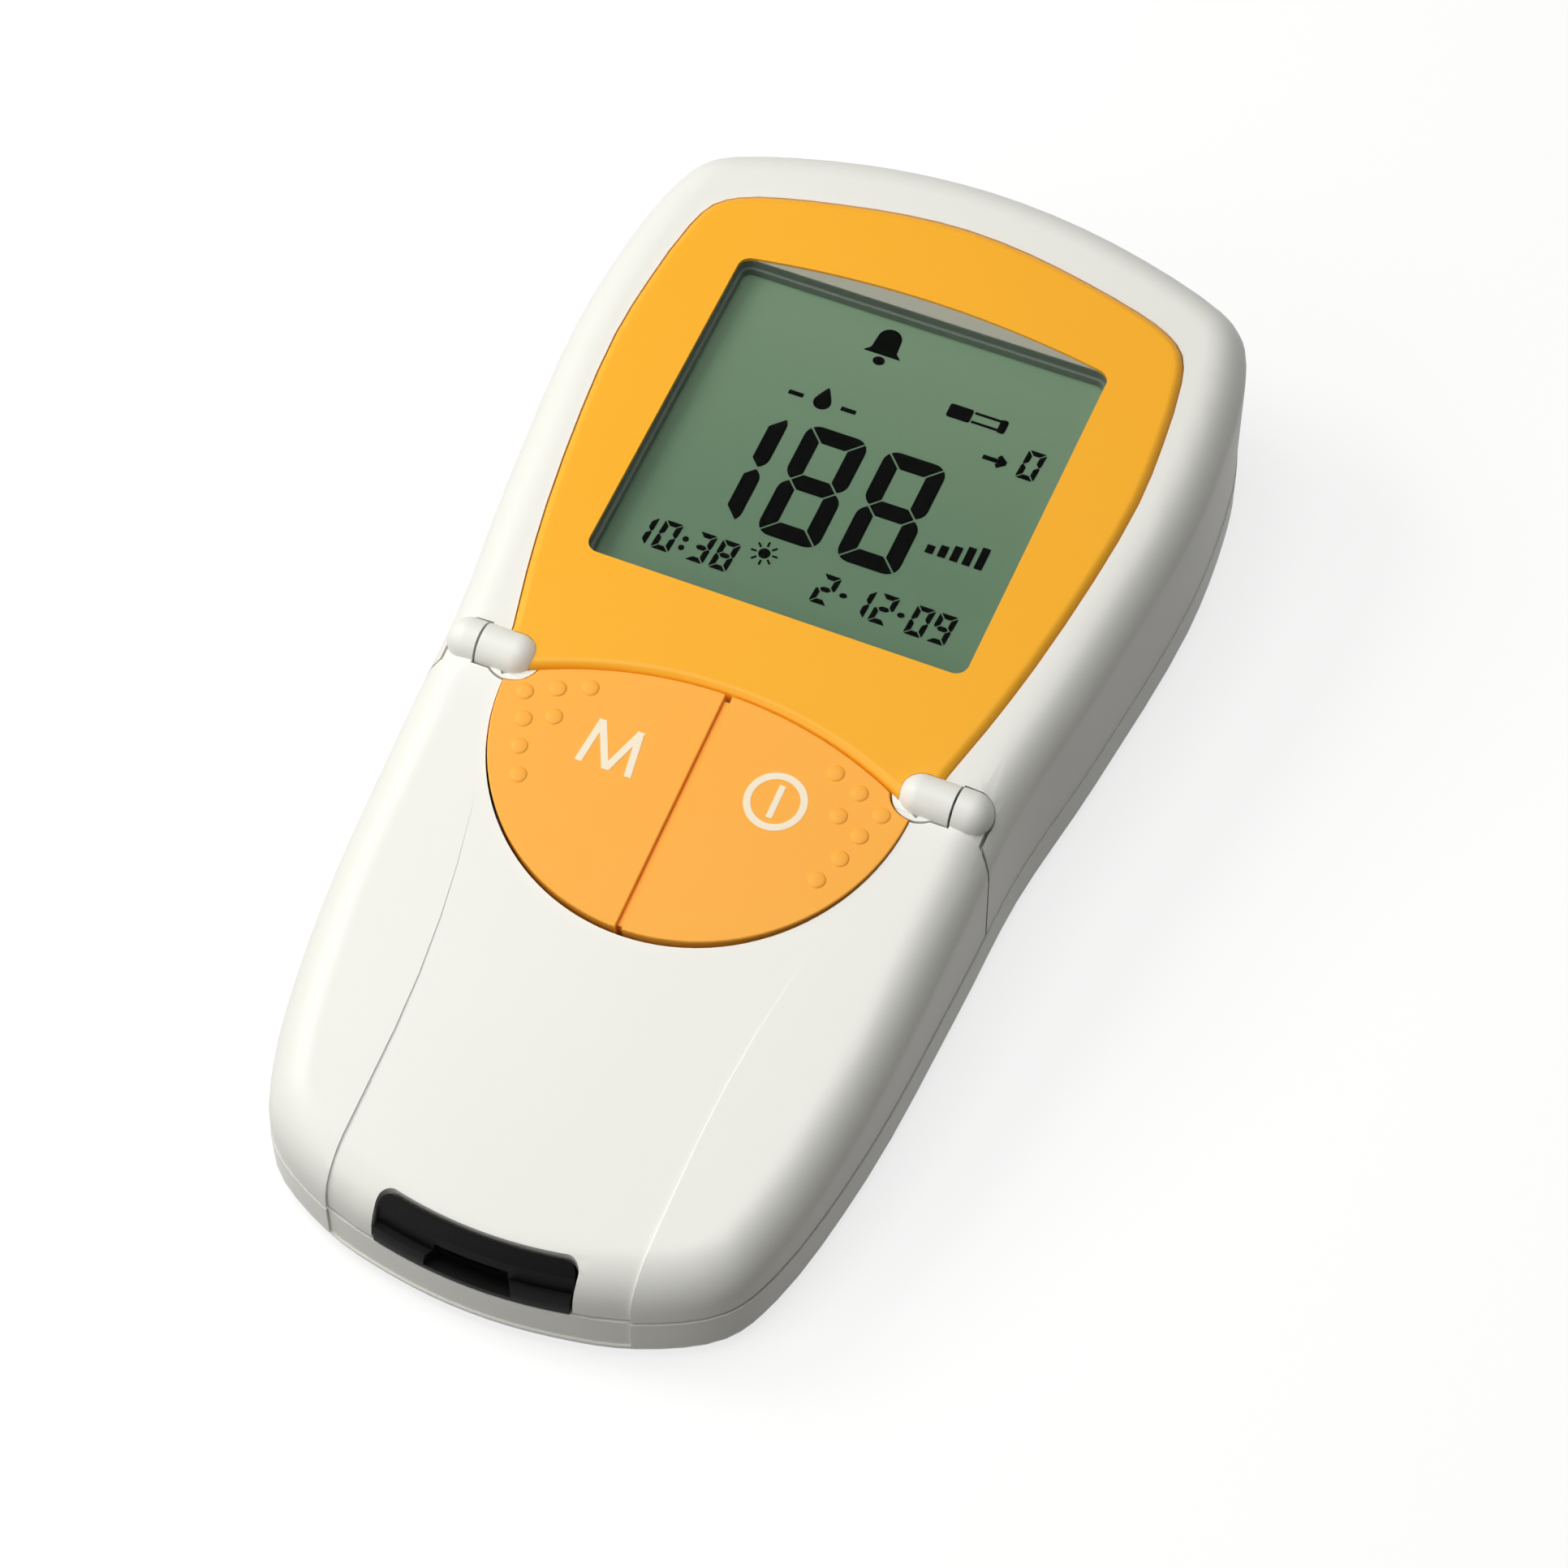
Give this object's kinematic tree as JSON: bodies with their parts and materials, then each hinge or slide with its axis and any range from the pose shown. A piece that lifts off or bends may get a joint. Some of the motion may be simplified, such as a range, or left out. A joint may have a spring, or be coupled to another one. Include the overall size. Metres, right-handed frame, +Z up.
{
  "type": "cholesterol meter",
  "caption": "Hand-held wedge-shaped blood-fat meter with a display under an orange face plate, two push buttons and a hinged measuring flap over a strip guide.",
  "frame": {"origin": "middle of the footprint, on the plane that the feet stand on", "axes": "+Z up, +Y from the strip end to the display end, +X to the right as seen when the display is read"},
  "size_m": [0.081, 0.156, 0.0296],
  "materials": {
    "shell_white": "fine satin texture",
    "plate_orange": "smooth, semi-gloss",
    "button_orange": "soft satin",
    "lens_clear": "clear, polished",
    "frame_grey": "matt",
    "lcd_green": "dull green reflective display",
    "strip_pink": "soft rubber",
    "board_green": "lacquered board",
    "part_black": "matt",
    "steel_screw": "bright",
    "deck_grey": "matt",
    "guide_black": "satin",
    "window_clear": "clear, polished",
    "ribbon_amber": "flexible film",
    "foam_black": "fine foam",
    "infrared_dark": "dark red filter",
    "cell_gold": "printed film over steel, bare of print",
    "spring_nickel": "nickel plated",
    "foot_rubber": "soft, matt"
  },
  "bodies": {
    "housing": {"rear_housing": "shell_white", "front_housing": "shell_white", "face_plate": "plate_orange", "display_lens": "lens_clear", "display_frame": "frame_grey", "lcd_panel": "lcd_green", "contact_strips": "strip_pink", "main_board": "board_green", "board_chips": "part_black", "button_switches": "part_black", "buzzer": "part_black", "board_screws": "steel_screw", "chamber_deck": "deck_grey", "strip_guide": "guide_black", "optics_block": "guide_black", "optics_window": "window_clear", "sensor_ribbon": "ribbon_amber", "hinge_pins": "steel_screw", "infrared_window": "infrared_dark", "batteries": "cell_gold", "battery_springs": "spring_nickel", "battery_plates": "spring_nickel", "case_screws": "steel_screw", "rubber_feet": "foot_rubber"},
    "flap": {"measuring_flap": "shell_white", "light_seal": "foam_black"},
    "left_button": {"memory_button": "button_orange"},
    "right_button": {"power_button": "button_orange"},
    "cover": {"battery_cover": "shell_white"}
  },
  "joints": [
    {"name": "flap_hinge", "type": "hinge", "parent": "housing", "child": "flap", "pos_m": [0, -0.0085, 0.02402], "axis": [-1, 0, 0], "range_deg": [0, 95]},
    {"name": "memory_press", "type": "slide", "parent": "housing", "child": "left_button", "axis": [0, 0, -1], "range_m": [0, 0.0008], "stiffness_N_per_m": 400},
    {"name": "power_press", "type": "slide", "parent": "housing", "child": "right_button", "axis": [0, 0, -1], "range_m": [0, 0.0008], "stiffness_N_per_m": 400},
    {"name": "cover_slide", "type": "slide", "parent": "housing", "child": "cover", "axis": [0, 1, 0], "range_m": [0, 0.01]}
  ]
}
